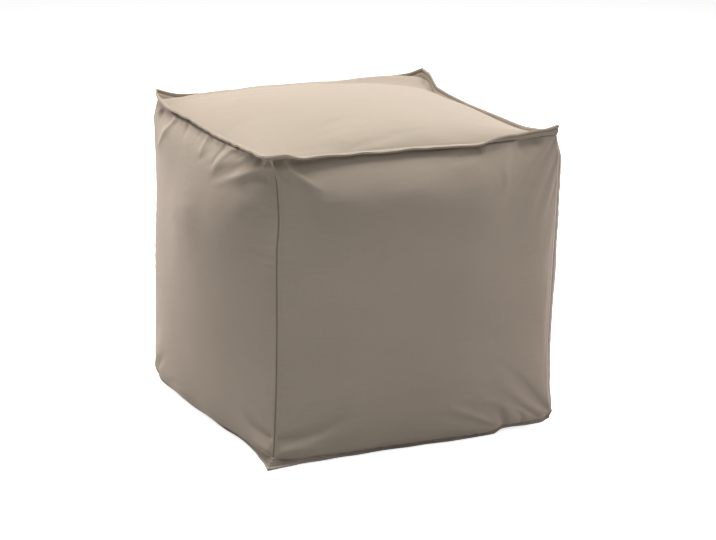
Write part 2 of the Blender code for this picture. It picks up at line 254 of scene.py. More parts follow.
# Creases, in mm: panel, height (below 0 for a trough), half width at the start
# and at the end of the route, how far it takes to rise and to fall, and the
# route in (along, up).
CREASES = (
    ("left", 15.0, 62, 70, 70, 210, ((-222, 388), (-100, 358), (0, 336), (100, 318), (170, 310))),
    ("left", 9.0, 100, 100, 110, 210, ((-222, 250), (-60, 235), (100, 225), (170, 225))),
    ("left", -4.5, 14, 18, 10, 26, ((191, 446), (188, 438), (188, 418))),
    ("left", 4.0, 7, 12, 6, 44, ((112, 447), (120, 437), (140, 416), (172, 386), (190, 366))),
    ("left", 1.8, 3, 4, 3, 20, ((81, 447), (72, 443), (65, 434))),
    ("left", -2.2, 3, 4.5, 3, 30, ((62, 447), (63, 441), (61, 431), (43, 414))),
    ("left", -1.6, 2.5, 4, 3, 24, ((9, 447), (9, 434), (8, 420))),
    ("left", 2.8, 4, 7, 3, 30, ((-17, 447), (-23, 441), (-23, 427), (-20, 400))),
    ("left", -2.0, 2.5, 4.5, 3, 26, ((-33, 447), (-42, 438), (-38, 425))),
    ("left", 1.5, 3, 4.5, 3, 24, ((-52, 447), (-59, 440), (-58, 427))),
    ("left", -2.4, 3, 4.5, 3, 34, ((-85, 447), (-84, 438), (-77, 426), (-66, 396))),
    ("left", 3.4, 7, 12, 5, 50, ((-132, 447), (-114, 442), (-97, 426), (-78, 398), (-66, 374))),
    ("left", -1.6, 7, 10, 8, 26, ((-146, 443), (-140, 430), (-132, 414))),
    ("left", -4.2, 2.5, 4, 3, 6, ((-170, 448), (-185, 446), (-193, 436))),
    ("left", 1.5, 2.5, 3, 3, 8, ((-165, 446), (-177, 435))),
    (
        *("left", 5.0, 6, 9, 6, 54),
        ((-218, 438), (-200, 429), (-180, 421), (-159, 412), (-130, 404), (-112, 400)),
    ),
    ("left", 4.0, 6, 7, 4, 26, ((-222, 438), (-205, 430), (-182, 421))),
    ("left", -2.2, 5, 6, 4, 12, ((-209, 432), (-195, 435), (-183, 429))),
    ("left", -2.2, 7, 12, 10, 44, ((-215, 419), (-189, 414), (-161, 405))),
    ("left", -4.5, 7, 10, 10, 40, ((-224, 42), (-205, 43), (-150, 50))),
    ("left", 3.0, 6, 8, 8, 40, ((-224, 24), (-205, 24), (-160, 26))),
    ("front", 8.0, 42, 40, 50, 90, ((-212, 386), (-100, 384), (60, 386), (170, 386))),
    ("front", 5.0, 26, 26, 36, 80, ((-200, 394), (-110, 390), (60, 393))),
    ("front", -9.0, 6, 5, 3, 4, ((-225, 443), (-215, 442), (-204, 441))),
    ("front", -6.5, 10, 10, 12, 12, ((-206, 442), (-173, 442), (-112, 442), (1, 441), (100, 440))),
    ("front", -2.0, 7, 6, 8, 20, ((-204, 441), (-185, 438), (-164, 437), (-139, 441))),
    (
        *("front", 6.5, 6, 9, 6, 40),
        ((-213, 437), (-205, 432), (-196, 423), (-183, 412), (-167, 403), (-151, 397)),
    ),
    ("front", -1.6, 5, 9, 6, 40, ((-220, 425), (-209, 418), (-193, 406), (-178, 396), (-158, 387))),
    ("front", 2.0, 4, 6, 5, 20, ((109, 439), (100, 431), (89, 421))),
    ("front", 1.2, 4, 6, 5, 20, ((140, 442), (136, 430), (132, 417))),
    ("front", -6.5, 13, 13, 14, 14, ((151, 441), (176, 441), (203, 439))),
    ("front", -4.5, 7, 10, 10, 50, ((-224, 41), (-200, 41), (-150, 48), (-120, 52))),
    ("front", 3.0, 6, 9, 10, 50, ((-222, 24), (-188, 25), (-130, 25))),
    ("front", -3.0, 5, 10, 5, 30, ((140, 6), (137, 24), (130, 62))),
    ("front", -2.0, 4, 8, 5, 20, ((170, 8), (170, 20), (172, 44))),
    ("front", 0.9, 4, 6, 8, 24, ((112, 26), (82, 41), (50, 60))),
)
BELL_POWER = 1.7  # of the bell across a crease: 2 is round, less is sharper
ROUTE_STEPS = 25  # points along the smoothed route of a crease
CREASE_CLEAR = (0.002, 0.005)  # creases die away this close to a level and an upright seam
SEAM_PINCH = (1.4, 1.7)  # mm: how deep the upright seams are pinched in, and how wide
EAR_PULL = (3.0, 4.5)  # mm: below the ears the seam stands proud instead: height and width
EAR_PULL_DOWN = 36  # mm, how far down from the top seam that takes to end
WELT_LINE = (0.45, 5.3, 0.9)  # mm: dip, place and half width of the stitched line beside a seam

# Puckers across the upright seams, in mm: panel, end (0 first, 1 last), from and
# to height, spacing, height and how far they reach.
PUCKERS = (
    ("front", 0, 60, 410, 17.0, 0.50, 26),
    ("left", 0, 60, 410, 18.5, 0.40, 30),
    ("front", 1, 50, 400, 19.0, 0.45, 24),
    ("right", 0, 50, 400, 18.0, 0.50, 24),
    ("right", 1, 60, 400, 17.5, 0.50, 26),
    ("back", 1, 60, 400, 19.5, 0.50, 26),
    ("back", 0, 60, 400, 18.0, 0.50, 26),
    ("left", 1, 60, 400, 17.0, 0.45, 26),
)
# Two waves shift them up and down, each a height and a length over 2 pi in mm, and
# their strength is a mean, how much it varies, and its wave's length over 2 pi in mm.
PUCKER_SWINGS = ((5, 41), (3, 23))
PUCKER_STRENGTH = (0.55, 0.45, 37)
PUCKER_ENDS = 30  # mm, in which they fade in at the lowest and out at the highest
PUCKER_START = 3  # mm from the seam to where they are full
PUCKER_CLEAR = 0.012  # puckers and pinches die away this close to a level seam
SETTLING = (0.45, 70, 190)  # mm: height and shortest and longest wave of the uneven filling
SETTLING_SEEDS = {"front": 5, "back": 4, "left": 4, "right": 5, "top": 9}
SETTLING_CLEAR = 0.040  # on the top panel it dies away this close to a seam

# How much longer the cloth is than the seam it is gathered to, in percent, at each
# panel's low, high, first and last seam.
SLACK = {
    "top": (2, 1, 2, 1),
    "front": (1.2, 1, 3, 0),
    "back": (4, 4, 3, 3),
    "left": (4, 6, 3, 3),
    "right": (4, 4, 2, 3),
    "base": (0, 0, 0, 0),
}
SLACK_REACH = 60  # mm from a seam to where its slack has died away
COPY_CELLS = 96  # along each edge of a panel of the copy that the filling pushes out
COPY_FRAMES = 15
WEIGHT_STEPS = 50
COPY_CLOTH = {  # light canvas that is pressed outward
    "quality": 6,
    "mass": 0.15,
    "air_damping": 2,
    "tension_stiffness": 30,
    "compression_stiffness": 30,
    "shear_stiffness": 10,
    "tension_damping": 10,
    "compression_damping": 10,
    "shear_damping": 10,
    "bending_stiffness": 0.1,
    "bending_damping": 1,
    "use_pressure": True,
    "uniform_pressure_force": 2.0,
    "vertex_group_mass": "held",
    "pin_stiffness": 1,
    "vertex_group_shrink": "slack",
    "shrink_min": 0,
}
MOST_MOVE = 5.0  # mm, the most that the filling moves the cloth


def s_curve(fraction):
    """Eases from 0 to 1: 3f^2 - 2f^3."""
    return fraction**2 * (3 - 2 * fraction)


def read_rows(value, rows, column):
    """A column of a table at each value of its first column. Between two rows it is
    the cubic that meets both, and its slope at a row is the harmonic mean of the
    straight slopes on either side, or level where the column turns back there."""
    stops = np.array([row[0] for row in rows], float)
    numbers = np.array([row[column] for row in rows], float)
    step = np.diff(stops)
    rise = np.diff(numbers) / step
    before, after = rise[:-1], rise[1:]
    onward = before * after > 0
    mean = np.where(onward, 2 * before * after / np.where(onward, before + after, 1), 0)
    slope = np.concatenate([rise[:1], mean, rise[-1:]])
    at = np.clip(np.searchsorted(stops, value, side="right") - 1, 0, len(step) - 1)
    f = np.clip((value - stops[at]) / step[at], 0, 1)
    ends = (1 + 2 * f) * (1 - f) ** 2 * numbers[at] + f**2 * (3 - 2 * f) * numbers[at + 1]
    turns = f * (1 - f) ** 2 * slope[at] - f**2 * (1 - f) * slope[at + 1]
    return ends + turns * step[at]


def corner(depth_side, width_side, level):
    """A corner of the cover: the true cube's corner plus its pull."""
    x = SIDE / 2 if width_side == "right" else -SIDE / 2
    y = SIDE / 2 if depth_side == "back" else -SIDE / 2
    z = TOP_SEAM if level == "top" else BASE_SEAM
    return np.array([x, y, z]) + np.array(CORNERS[(depth_side, width_side, level)]) * MM


def outward(side):
    """The level direction that a side faces."""
    return {
        "front": np.array([0.0, -1.0, 0.0]),
        "back": np.array([0.0, 1.0, 0.0]),
        "left": np.array([-1.0, 0.0, 0.0]),
        "right": np.array([1.0, 0.0, 0.0]),
    }[side]


def seam_ends(level, side):
    """The two corners of a level seam, left to right or front to back."""
    if side in ("front", "back"):
        return (side, "left", level), (side, "right", level)
    return ("front", side, level), ("back", side, level)


def level_seam(level, side, share):
    """Points along a top or base seam: the straight line between its corners, pushed
    out and up by its table. share runs from 0 to 1."""
    start, end = (corner(*name) for name in seam_ends(level, side))
    rows = LEVEL_SEAMS[(level, side)]
    along = (share - 0.5) * SIDE / MM
    line = start + share[:, None] * (end - start)
    line = line + read_rows(along, rows, OUT)[:, None] * MM * outward(side)
    line[:, 2] += read_rows(along, rows, RISE) * MM
    return line


def upright_seam(depth_side, width_side, share):
    """Points up a corner seam: the straight line from the base corner to the top
    corner, pushed sideways by its table. share runs from 0 to 1."""
    start = corner(depth_side, width_side, "base")
    end = corner(depth_side, width_side, "top")
    rows = UPRIGHT_SEAMS[(depth_side, width_side)]
    line = start + share[:, None] * (end - start)
    height = share * rows[-1][0]
    line[:, 0] += read_rows(height, rows, EAST) * MM
    line[:, 1] += read_rows(height, rows, NORTH) * MM
    return line


def panel_seams(panel):
    """The four seams round a panel, each a function of share: low and high edge, which
    run across it, then first and last edge, which run up it."""
    if panel in ("top", "base"):
        return (
            lambda s: level_seam(panel, "front", s),
            lambda s: level_seam(panel, "back", s),
            lambda s: level_seam(panel, "left", s),
            lambda s: level_seam(panel, "right", s),
        )
    if panel in ("front", "back"):
        first, last = (panel, "left"), (panel, "right")
    else:
        first, last = ("front", panel), ("back", panel)
    return (
        lambda s: level_seam("base", panel, s),
        lambda s: level_seam("top", panel, s),
        lambda s: upright_seam(*first, s),
        lambda s: upright_seam(*last, s),
    )


def stretched_panel(panel, across, up):
    """A panel pulled flat between its four seams: the sum of the two straight spans
    between opposite seams, less the straight-sided sheet through its corners."""
    low, high, first, last = panel_seams(panel)
    u, v = across[:, None], up[:, None]
    span_up = (1 - v) * low(across) + v * high(across)
    span_across = (1 - u) * first(up) + u * last(up)
    zero, one = np.zeros(1), np.ones(1)
    corners = (1 - v) * ((1 - u) * low(zero) + u * low(one))
    corners = corners + v * ((1 - u) * high(zero) + u * high(one))
    return span_up + span_across - corners


def arch(share, first, last):
    """0 at both seams and 1 midway: (1 - t^2)^shoulder, with t from -1 to 1, and a
    shoulder for each half."""
    shoulder = np.where(share < 0.5, first, last)
    return np.clip(1 - (2 * share - 1) ** 2, 0, 1) ** shoulder


def bow(panel, across, up):
    """How far a panel stands out from the stretched one: an arch each way."""
    depth, first, last, low, high = BOWS[panel]
    return depth * MM * arch(across, first, last) * arch(up, low, high)


def crease(along, up, height, start_reach, end_reach, rise, fall, route):
    """One soft ridge or trough. The route is smoothed, each point finds its nearest
    place on it, and the height there falls off across it as a bell,
    e^-(away / reach)^power, and along it as an S-curve at both ends."""
    route = np.array(route, float)
    chord = np.concatenate([[0], np.cumsum(np.hypot(*np.diff(route, axis=0).T))])
    walk = np.linspace(0, chord[-1], ROUTE_STEPS)
    path = np.stack([read_rows(walk, np.column_stack([chord, route]), k) for k in (1, 2)], 1)
    nearest = np.full(along.shape, np.inf)
    place = np.zeros(along.shape)
    for (a0, b0), (a1, b1), w0, w1 in zip(path, path[1:], walk, walk[1:]):
        length2 = (a1 - a0) ** 2 + (b1 - b0) ** 2
        share = np.clip(((along - a0) * (a1 - a0) + (up - b0) * (b1 - b0)) / length2, 0, 1)
        away = np.hypot(along - a0 - share * (a1 - a0), up - b0 - share * (b1 - b0))
        place = np.where(away < nearest, w0 + share * (w1 - w0), place)
        nearest = np.minimum(nearest, away)
    reach = start_reach + (end_reach - start_reach) * place / walk[-1]
    ends = s_curve(np.clip(place / rise, 0, 1)) * s_curve(np.clip((walk[-1] - place) / fall, 0, 1))
    return height * ends * np.exp(-((nearest / reach) ** BELL_POWER))


def waves(along, up, height, shortest, longest, seed):
    """Uneven ground: eight waves in scattered directions, summed."""
    chance = np.random.default_rng(seed)
    total = np.zeros(along.shape)
    for _ in range(8):
        turn, shift = chance.uniform(0, 2 * np.pi, 2)
        length = chance.uniform(shortest, longest)
        run = along * np.cos(turn) + up * np.sin(turn)
        total += height / 2 * np.sin(2 * np.pi * run / length + shift)
    return total


def pucker(panel, across, up_mm):
    """Short folds that run away from the upright seams: a wave up the seam whose
    spacing wanders, times e^-(away / reach)."""
    (swing, swing_length), (sway, sway_length) = PUCKER_SWINGS
    mean, change, change_length = PUCKER_STRENGTH
    total = np.zeros(across.shape)
    for name, end, low, high, spacing, height, reach in PUCKERS:
        if name == panel:
            away = np.abs(across - end) * SIDE / MM
            wander = swing * np.sin(up_mm / swing_length + 2 * end)
            wander = wander + sway * np.sin(up_mm / sway_length + 1)
            strength = mean + change * np.sin(up_mm / change_length + 3 * end + spacing)
            above = np.clip((up_mm - low) / PUCKER_ENDS, 0, 1)
            inside = s_curve(above * np.clip((high - up_mm) / PUCKER_ENDS, 0, 1))
            fold = np.sin(2 * np.pi * (up_mm + wander) / spacing)
            rise = s_curve(np.clip(away / PUCKER_START, 0, 1))
            total += height * strength * inside * fold * rise * np.exp(-away / reach)
    return total


def below_ears(up):
    """1 at the top seam, and by an S-curve 0 where the pull of the ears ends."""
    return s_curve(np.clip(1 - (1 - up) * SIDE / MM / EAR_PULL_DOWN, 0, 1))


def side_panel(panel, across, up):
    """A side panel: stretched between its seams, bowed outward, creased and
    puckered. It stands proud of its upright seams by 1 - e^-(away / width)^2."""
    points = stretched_panel(panel, across, up)
    along_mm = (across - 0.5) * SIDE / MM
    up_mm = points[:, 2] / MM
    to_level = np.minimum(up, 1 - up) * SIDE
    to_upright = np.minimum(across, 1 - across) * SIDE
    level_clear = np.clip(to_level / CREASE_CLEAR[0], 0, 1)
    clear = s_curve(level_clear * np.clip(to_upright / CREASE_CLEAR[1], 0, 1))
    relief = waves(along_mm, up_mm, *SETTLING, SETTLING_SEEDS[panel])
    for name, *shape in CREASES:
        if name == panel:
            relief += crease(along_mm, up_mm, *shape)
    relief = relief * clear
    off_ends = s_curve(np.clip(to_level / PUCKER_CLEAR, 0, 1))
    away = to_upright / MM
    relief += off_ends * pucker(panel, across, up_mm)
    pull, pull_width = EAR_PULL
    pulled = below_ears(up)
    pinch = SEAM_PINCH[0] * (1 - np.exp(-((away / SEAM_PINCH[1]) ** 2)))
    pinch = pinch * (1 - pulled) - pulled * pull * (1 - np.exp(-((away / pull_width) ** 2)))
    relief += off_ends * pinch
    if panel in ("front", "back"):
        dip, place, half = WELT_LINE
        relief -= off_ends * dip * np.exp(-(((away - place) / half) ** 2))
    return points + (bow(panel, across, up) + relief * MM)[:, None] * outward(panel)


def top_panel(panel, across, up):
    """The top panel: stretched between its seams and crowned upward. From each seam
    the crown leads in by 1 - e^-(away / lead)."""
    points = stretched_panel(panel, across, up)
    along_mm = (across - 0.5) * SIDE / MM
    up_mm = (up - 0.5) * SIDE / MM
    to_seam = np.minimum.reduce([across, 1 - across, up, 1 - up]) * SIDE
    clear = s_curve(np.clip(to_seam / SETTLING_CLEAR, 0, 1))
    crown = bow(panel, across, up)
    for side, away, along in (
        ("left", across, up_mm),
        ("right", 1 - across, up_mm),
        ("front", up, along_mm),
        ("back", 1 - up, along_mm),
    ):
        crown = crown * (1 - np.exp(-away * SIDE / MM / read_rows(along, CROWN_LEAD[side], 1)))
    points[:, 2] += crown
    points[:, 2] += clear * waves(along_mm, up_mm, *SETTLING, SETTLING_SEEDS[panel]) * MM
    return points


def base_panel(panel, across, up):
    """The base panel: it rolls under from its seams and lies flat on the floor."""
    points = stretched_panel(panel, across, up)
    to_seam = np.minimum.reduce([across, 1 - across, up, 1 - up]) * SIDE
    points[:, 2] *= (1 - np.clip(to_seam / BASE_ROLL, 0, 1)) ** 2
    return points


# Each panel: its shape, the lattice axes it runs across and up, the axis it closes
# and at which end, whether its faces wind the other way, and its place on the cloth.
PANELS = {
    "base": (base_panel, 0, 1, 2, 0, True, (0, 0)),
    "top": (top_panel, 0, 1, 2, 1, False, (1, 0)),
    "front": (side_panel, 0, 2, 1, 0, False, (2, 0)),
    "back": (side_panel, 0, 2, 1, 1, True, (0, 1)),
    "left": (side_panel, 1, 2, 0, 0, True, (1, 1)),
    "right": (side_panel, 1, 2, 0, 1, False, (2, 1)),
}
# The cloth is painted darker beside its seams, as painted shade in the seams' grooves and
# under the overhanging top flanges. The shade there is this many times as wide at the
# base and the top seam as at an upright one, and it fades out below the ears.
LEVEL_SHADE = (0.7, 2.2)
EAR_SHADE_GAP = 3  # mm, how far off the seams below the ears seem to be
FAR = 99.0  # mm, too far from a seam for any shade
CLOTH_WIDTH = 1.5  # metres of cloth that the UV map's unit square stands for
CLOTH_MARGIN = 0.02  # metres of it that are left free round each panel


def crowded_shares(cells, crowd):
    """Shares from 0 to 1, closer together towards both ends: (1 + p) / 2 where p is
    1 - (1 - |e|)^crowd, signed, for even steps e from -1 to 1."""
    even = np.linspace(-1, 1, cells + 1)
    return (1 + np.sign(even) * (1 - (1 - np.abs(even)) ** crowd)) / 2


def set_point_values(mesh, name, values):
    """Keeps a number for each point of a mesh under a name."""
    data = mesh.attributes.new(name, "FLOAT", "POINT").data
    data.foreach_set("value", values.astype(np.float32))


def sewn_cover(name, cells, moved=None):
    """The closed cover: six grids of panel points, joined where their lattice
    numbers agree, each laid out flat in the UV map. moved adds to each panel's
    points. Returns the cover, the place of every panel point in its mesh, and each
    panel's points as a grid."""
    count = cells + 1
    shares = crowded_shares(cells, CELL_CROWD)
    lines = np.meshgrid(np.arange(count), np.arange(count), indexing="ij")
    row, column = (grid.ravel() for grid in lines)
    cell = (np.arange(cells)[:, None] * count + np.arange(cells)).ravel()
    quad = np.stack([cell, cell + count, cell + count + 1, cell + 1], 1)
    across, up = shares[row], shares[column]
    places, points, seams, slack, quads, layout = [], [], [], [], [], []
    for number, (panel, (shape, a, b, c, end, turned, spot)) in enumerate(PANELS.items()):
        lattice = np.zeros((count * count, 3), int)
        lattice[:, a], lattice[:, b], lattice[:, c] = row, column, end * cells
        places.append(lattice @ np.array([count * count, count, 1]))
        points.append(shape(panel, across, up) + (0 if moved is None else moved[panel]))
        from_seams = np.stack([up, 1 - up, across, 1 - across], 1) * SIDE / MM
        near = np.clip(1 - from_seams / SLACK_REACH, 0, 1) * np.array(SLACK[panel])
        slack.append(near.max(axis=1) / 100)
        # Distance to the nearest seam for the painted shade; below the ears the upright seams stand
        # proud and get less of it.
        away = from_seams[:, 2:].min(axis=1) + EAR_SHADE_GAP * below_ears(up)
        away = np.minimum(away, (from_seams[:, :2] / LEVEL_SHADE).min(axis=1))
        seams.append(away if shape is side_panel else np.full(away.shape, FAR))
        quads.append((quad[:, ::-1] if turned else quad) + number * count * count)
        flat = np.stack([across, up], 1) * SIDE + np.array(spot) * CLOTH_WIDTH / 3 + CLOTH_MARGIN
        layout.append(flat / CLOTH_WIDTH)
    corners = np.concatenate(quads).ravel()
    _, first, joined = np.unique(np.concatenate(places), return_index=True, return_inverse=True)
    joined = joined.ravel()
    from_seam = np.full(len(first), FAR)
    np.minimum.at(from_seam, joined, np.concatenate(seams))
    sewn = np.bincount(joined) > 1

    mesh = bpy.data.meshes.new(name)
    faces = joined[corners].reshape(-1, 4)
    mesh.from_pydata(np.concatenate(points)[first].tolist(), [], faces.tolist())
    flat = np.concatenate(layout)[corners].astype(np.float32)
    mesh.uv_layers.new(name="cloth").data.foreach_set("uv", flat.ravel())
    set_point_values(mesh, "from_seam", from_seam)
    set_point_values(mesh, "slack", np.concatenate(slack)[first])
    set_point_values(mesh, "held", sewn | (first < count * count))
    mesh.update()
    mesh.shade_smooth()
    piece = put_in_scene(name, mesh)
    sides = {name: grid.reshape(count, count, 3) for name, grid in zip(PANELS, points)}
    return piece, joined, sides


def weight_group(piece, attribute):
    """A vertex group with a point attribute's values as shares of its largest, in
    steps of 1/50. Returns the largest."""
    values = np.empty(len(piece.data.vertices), np.float32)
    piece.data.attributes[attribute].data.foreach_get("value", values)
    steps = np.round(values / values.max() * WEIGHT_STEPS)
    group = piece.vertex_groups.new(name=attribute)
    for step in np.unique(steps[steps > 0]):
        group.add(np.nonzero(steps == step)[0].tolist(), step / WEIGHT_STEPS, "REPLACE")
    return float(values.max())


def carry_over(cells, fine_cells):
    """Weights that carry a row of values from one spacing to a finer one: for each
    fine place the cubic through the four values round it (Catmull-Rom)."""
    place = np.arange(fine_cells + 1) * cells / fine_cells
    before = np.clip(np.floor(place).astype(int), 0, cells - 1)
    f = place - before
    cubic = np.stack(
        [
            (-f + 2 * f**2 - f**3) / 2,
            (2 - 5 * f**2 + 3 * f**3) / 2,
            (f + 4 * f**2 - 3 * f**3) / 2,
            (-(f**2) + f**3) / 2,
        ]
    )
    weights = np.zeros((fine_cells + 1, cells + 1))
    for k in range(4):
        np.add.at(weights, (np.arange(fine_cells + 1), np.clip(before + k - 1, 0, cells)), cubic[k])
    return weights


def filled_out():
    """How the filling moves the cloth. A coarser copy of the cover, held along its
    seams and on its base and slack beside its seams, is blown out as cloth for a few
    frames. Each movement m is then kept within most * tanh(m / most)."""
    copy, joined, _ = sewn_cover("cover_copy", COPY_CELLS)
    start = np.empty(len(copy.data.vertices) * 3, np.float32)
    copy.data.vertices.foreach_get("co", start)
    weight_group(copy, "held")
    most_slack = weight_group(copy, "slack")
    cloth = copy.modifiers.new("cloth", "CLOTH")
    for setting, value in COPY_CLOTH.items():
        setattr(cloth.settings, setting, value)
    cloth.settings.shrink_max = -most_slack
    cloth.settings.effector_weights.gravity = 0
    cloth.collision_settings.use_collision = False
    cloth.collision_settings.use_self_collision = False
    cloth.point_cache.frame_start = 1
    cloth.point_cache.frame_end = COPY_FRAMES
    for frame_number in range(1, COPY_FRAMES + 1):
        bpy.context.scene.frame_set(frame_number)
    blown = copy.evaluated_get(bpy.context.evaluated_depsgraph_get()).data
    end = np.empty(len(start), np.float32)
    blown.vertices.foreach_get("co", end)
    bpy.context.scene.frame_set(1)
    bpy.data.objects.remove(copy)

    count = COPY_CELLS + 1
    move = (end - start).reshape(-1, 3)[joined].reshape(len(PANELS), count, count, 3)
    finer = carry_over(COPY_CELLS, PANEL_CELLS)
    moved = {}
    for panel, grid in zip(PANELS, move):
        fine = np.einsum("ia,abk,jb->ijk", finer, grid.astype(float), finer).reshape(-1, 3)
        length = np.linalg.norm(fine, axis=1, keepdims=True) / (MOST_MOVE * MM)
        moved[panel] = fine * np.tanh(length) / np.maximum(length, 1e-9)
    return moved


def set_sockets(node, values):
    """Sets a node's input sockets by their names."""
    for socket, value in values.items():
        node.inputs[socket].default_value = value


def new_paint(name):
    """A new material, and its Principled BSDF."""
    material = bpy.data.materials.new(name)
    material.use_nodes = True
    return material, material.node_tree.nodes["Principled BSDF"]


RIB_SHARE = 0.35  # of the plain ribs against where they cross
THREAD_SHADE = 0.02
UP_SLUB_SHARE = 0.6  # of the slubs that run up the cloth against those along it
SLUB_HEIGHT = 2.0  # against the threads'

# Noise drawn out along the cloth, up it or neither: cells per mm each way, and detail.
ALONG_SLUBS = ((0.018, 0.55, 1), 2.0)
UP_SLUBS = ((0.5, 0.02, 1), 2.0)
SLOW_MOTTLING = ((0.011, 0.013, 1), 3.0)


def canvas_weave():
    """A node group for plain canvas, in mm on the cloth: threads as two crossed sine
    ribs, slubs as noise drawn out along and up the cloth, and slow mottling. The
    shade is 1 plus each of these times its amount."""
    group = bpy.data.node_groups.new("canvas_weave", "ShaderNodeTree")
    for name, kind, value in (
        ("Cloth", "NodeSocketVector", None),
        ("Thread Spacing", "NodeSocketFloat", 0.9),
        ("Slubs", "NodeSocketFloat", 0.08),
        ("Mottling", "NodeSocketFloat", 0.06),
    ):
        socket = group.interface.new_socket(name, in_out="INPUT", socket_type=kind)
        if value is not None:
            socket.default_value = value
    group.interface.new_socket("Shade", in_out="OUTPUT", socket_type="NodeSocketFloat")
    group.interface.new_socket("Height", in_out="OUTPUT", socket_type="NodeSocketFloat")
    nodes, links = group.nodes, group.links
    inside = nodes.new("NodeGroupInput")
    out = nodes.new("NodeGroupOutput")

    def step(operation, first, second=None):
        """One sum, of a number or output or of two."""
        node = nodes.new("ShaderNodeMath")
        node.operation = operation
        for socket, value in zip(node.inputs, (first, second)):
            if hasattr(value, "links"):
                links.new(value, socket)
            elif value is not None:
                socket.default_value = value
        return node.outputs[0]

    def drawn_out(scale, detail):
        """Noise round 0, with its own number of cells per mm each way."""
        mapping = nodes.new("ShaderNodeMapping")
        set_sockets(mapping, {"Scale": scale})
        links.new(inside.outputs["Cloth"], mapping.inputs["Vector"])
        noise = nodes.new("ShaderNodeTexNoise")
        noise.noise_dimensions = "2D"
        set_sockets(noise, {"Scale": 1.0, "Detail": detail})
        links.new(mapping.outputs["Vector"], noise.inputs["Vector"])
        return step("SUBTRACT", noise.outputs[0], 0.5)

    split = nodes.new("ShaderNodeSeparateXYZ")
    links.new(inside.outputs["Cloth"], split.inputs[0])
    turns = step("DIVIDE", 2 * math.pi, inside.outputs["Thread Spacing"])
    ribs = [step("SINE", step("MULTIPLY", split.outputs[k], turns)) for k in (0, 1)]
    plain = step("MULTIPLY", step("ADD", ribs[0], ribs[1]), RIB_SHARE)
    threads = step("ADD", step("MULTIPLY", ribs[0], ribs[1]), plain)
    up_slubs = step("MULTIPLY", drawn_out(*UP_SLUBS), UP_SLUB_SHARE)
    slubs = step("ADD", drawn_out(*ALONG_SLUBS), up_slubs)
    mottling = drawn_out(*SLOW_MOTTLING)
    shade = step("ADD", 1.0, step("MULTIPLY", slubs, inside.outputs["Slubs"]))
    shade = step("ADD", shade, step("MULTIPLY", mottling, inside.outputs["Mottling"]))
    shade = step("ADD", shade, step("MULTIPLY", threads, THREAD_SHADE))
    links.new(shade, out.inputs["Shade"])
    links.new(step("ADD", threads, step("MULTIPLY", slubs, SLUB_HEIGHT)), out.inputs["Height"])
    return group


CANVAS_COLOUR = (0.293, 0.243, 0.187)
# Painted shade beside seams and stitched lines: the share of the cloth's brightness at its darkest,
# and how wide it is by an upright seam.
PAINTED_SHADE_DARKEST = 0.42  # of the cloth's brightness, right at a seam
SEAM_SHADE = 1.6  # mm, how wide the shade by an upright seam is
weave_group = canvas_weave()


def canvas(name, seam_attribute, shade_width):
    """Matt cotton canvas: the weave group shades the colour and lifts the threads,
    and painted shade darkens the cloth within shade_width mm of the seam or
    stitched line in the attribute."""
    material, shader = new_paint(name)
    nodes, links = material.node_tree.nodes, material.node_tree.links
    set_sockets(shader, {"Roughness": 0.88, "Specular IOR Level": 0.25})
    set_sockets(shader, {"Sheen Weight": 0.12, "Sheen Roughness": 0.45})
    uv = nodes.new("ShaderNodeUVMap")
    uv.uv_map = "cloth"
    in_mm = nodes.new("ShaderNodeMapping")
    set_sockets(in_mm, {"Scale": [CLOTH_WIDTH / MM] * 3})
    links.new(uv.outputs[0], in_mm.inputs["Vector"])
    weave = nodes.new("ShaderNodeGroup")
    weave.node_tree = weave_group
    links.new(in_mm.outputs[0], weave.inputs["Cloth"])

    seam = nodes.new("ShaderNodeAttribute")
    seam.attribute_name = seam_attribute
    depth = nodes.new("ShaderNodeMapRange")
    depth.interpolation_type = "SMOOTHSTEP"
    set_sockets(depth, {"From Min": 0.0, "From Max": shade_width, "To Min": PAINTED_SHADE_DARKEST, "To Max": 1.0})
    links.new(seam.outputs["Fac"], depth.inputs["Value"])
    both = nodes.new("ShaderNodeMath")
    both.operation = "MULTIPLY"
    links.new(depth.outputs[0], both.inputs[0])
    links.new(weave.outputs["Shade"], both.inputs[1])
    tint = nodes.new("ShaderNodeVectorMath")
    tint.operation = "SCALE"
    tint.inputs[0].default_value = CANVAS_COLOUR
    links.new(both.outputs[0], tint.inputs["Scale"])
    links.new(tint.outputs[0], shader.inputs["Base Color"])

    bump = nodes.new("ShaderNodeBump")
    set_sockets(bump, {"Strength": 0.35, "Distance": 0.00012})
    links.new(weave.outputs["Height"], bump.inputs["Height"])
    links.new(bump.outputs[0], shader.inputs["Normal"])
    return material


cover_canvas = canvas("cover_canvas", "from_seam", SEAM_SHADE)
cover, _, sewn_sides = sewn_cover("filled_cover", PANEL_CELLS, filled_out())
cover.data.materials.append(cover_canvas)
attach(cover, "root")
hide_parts("filled_body")


# ---------------------------------------------------------------------------
# Flanges
# Round the top and the base the panels' edges are folded in and sewn flat to each
# other, so two layers of canvas stand out from the seam as a narrow strip, with one
# line of stitches at the top and three at the base. Strips meet in corner ears.
# ---------------------------------------------------------------------------
FLANGE_STATIONS = 300
STATION_CROWD = 1.25  # more than 1 draws them towards the corners
FLANGE_ROOT = -0.0015  # starts this far inside the cover's seam
EAR_REACH = 0.020  # along the seam from a corner to where its ear has died away
FOLD_REACH = 0.007  # the same for the turn of the cloth into the ear's fold
EAR_SHARE = 0.03  # of a seam beside an ear, along which its run is taken
FLANGE_RIPPLE = (0.55, 26, 70)  # mm: height, shortest and longest wave of the free edge
RIPPLE_SEEDS = {"top": 31, "base": 38}  # and one more for each letter of the side
RIPPLE_CLEAR = 0.040  # the ripple dies away this close to a corner
FLANGE_CURL = 1.0  # mm, how far the strip bends away from flat
FLANGE_LOWEST = 0.0014  # above the floor: the middle of a strip
FLOOR_GAP = 0.0002  # above the floor: its lower face

